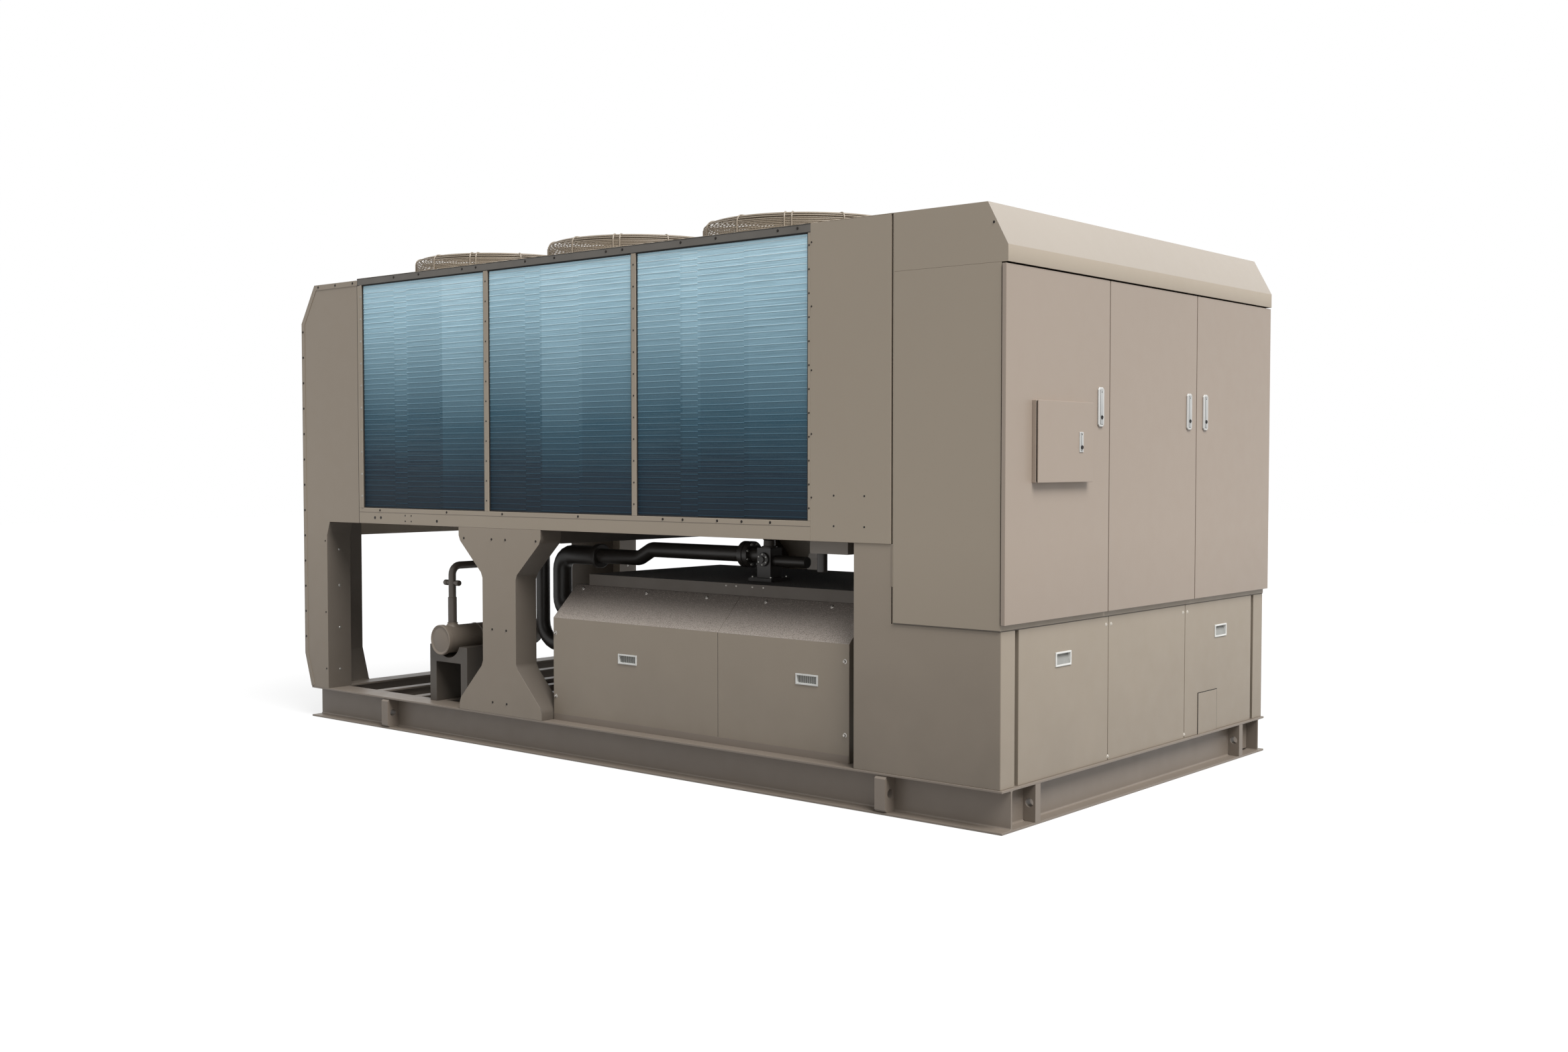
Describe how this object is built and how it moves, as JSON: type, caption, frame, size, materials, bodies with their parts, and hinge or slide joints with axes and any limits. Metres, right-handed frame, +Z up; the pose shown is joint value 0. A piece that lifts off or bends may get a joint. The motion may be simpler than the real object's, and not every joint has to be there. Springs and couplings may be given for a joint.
{
  "type": "liquid chiller",
  "caption": "Air-cooled liquid chiller: a beam base carries coil walls under a fan deck, a compressor housing, pipework and a control cabinet with hinged doors.",
  "frame": {"origin": "bottom centre of the whole machine, on the ground under its base beams", "axes": "+X along the machine towards the control cabinet's doors, -Y towards the front coils, +Z up"},
  "size_m": [4.368, 2.262, 2.349],
  "materials": {
    "base_steel": "powder coat in shade, satin",
    "panel_paint": "powder coat, fine texture",
    "coil_fins": "coated finned coil",
    "fan_wire": "powder coated wire",
    "fan_plastic": "moulded",
    "motor_metal": "painted casting",
    "handle_plastic": "moulded",
    "galvanised": "galvanised sheet",
    "insulation": "closed-cell foam",
    "pipe_paint": "painted pipe"
  },
  "bodies": {
    "chiller": {"blank_panels": "panel_paint", "cabinet_back": "panel_paint", "cabinet_floor": "panel_paint", "cabinet_hood": "panel_paint", "cabinet_sides": "panel_paint", "cabinet_uprights": "panel_paint", "cable_plate": "panel_paint", "coil_heads": "panel_paint", "coil_rails": "panel_paint", "coil_uprights": "panel_paint", "coils": "coil_fins", "compressor_housing": "panel_paint", "compressor_lid": "insulation", "cross_beams": "base_steel", "deck_end_panel": "panel_paint", "discharge_pipe": "pipe_paint", "enclosure_posts": "panel_paint", "enclosure_sides": "panel_paint", "end_beams": "base_steel", "end_panels": "panel_paint", "evaporator": "insulation", "evaporator_cradles": "panel_paint", "fan_guards": "fan_wire", "fan_motors": "motor_metal", "fan_panels_left": "panel_paint", "fan_panels_middle": "panel_paint", "fan_panels_right": "panel_paint", "fan_rotors": "fan_plastic", "hanging_box": "pipe_paint", "left_end_panel": "panel_paint", "left_hood": "panel_paint", "left_posts": "panel_paint", "lifting_lugs": "base_steel", "mounting_plates": "galvanised", "panel_pulls": "handle_plastic", "plenum_floor": "galvanised", "riser_pipe": "pipe_paint", "side_beams": "base_steel", "suction_pipe": "pipe_paint", "supports": "panel_paint", "tie_beam": "panel_paint", "valve": "pipe_paint", "valve_run": "pipe_paint", "vessel": "pipe_paint", "vessel_stand": "panel_paint"},
    "door_left": {"door_left": "panel_paint", "handle_left": "handle_plastic", "controller_case": "panel_paint"},
    "door_middle": {"door_middle": "panel_paint", "handle_middle": "handle_plastic"},
    "door_right": {"door_right": "panel_paint", "handle_right": "handle_plastic"},
    "controller_door": {"controller_door": "panel_paint", "controller_handle": "handle_plastic"}
  },
  "joints": [
    {"name": "door_left_hinge", "type": "hinge", "parent": "chiller", "child": "door_left", "pos_m": [2.158, -1.132, 1.398], "axis": [0, 0, -1], "range_deg": [0, 110]},
    {"name": "door_middle_hinge", "type": "hinge", "parent": "chiller", "child": "door_middle", "pos_m": [2.158, -0.37733, 1.398], "axis": [0, 0, -1], "range_deg": [0, 110]},
    {"name": "door_right_hinge", "type": "hinge", "parent": "chiller", "child": "door_right", "pos_m": [2.158, 1.132, 1.398], "axis": [0, 0, 1], "range_deg": [0, 110]},
    {"name": "controller_door_hinge", "type": "hinge", "parent": "door_left", "child": "controller_door", "pos_m": [2.185, -0.955, 1.413], "axis": [0, 0, -1], "range_deg": [0, 110]}
  ]
}
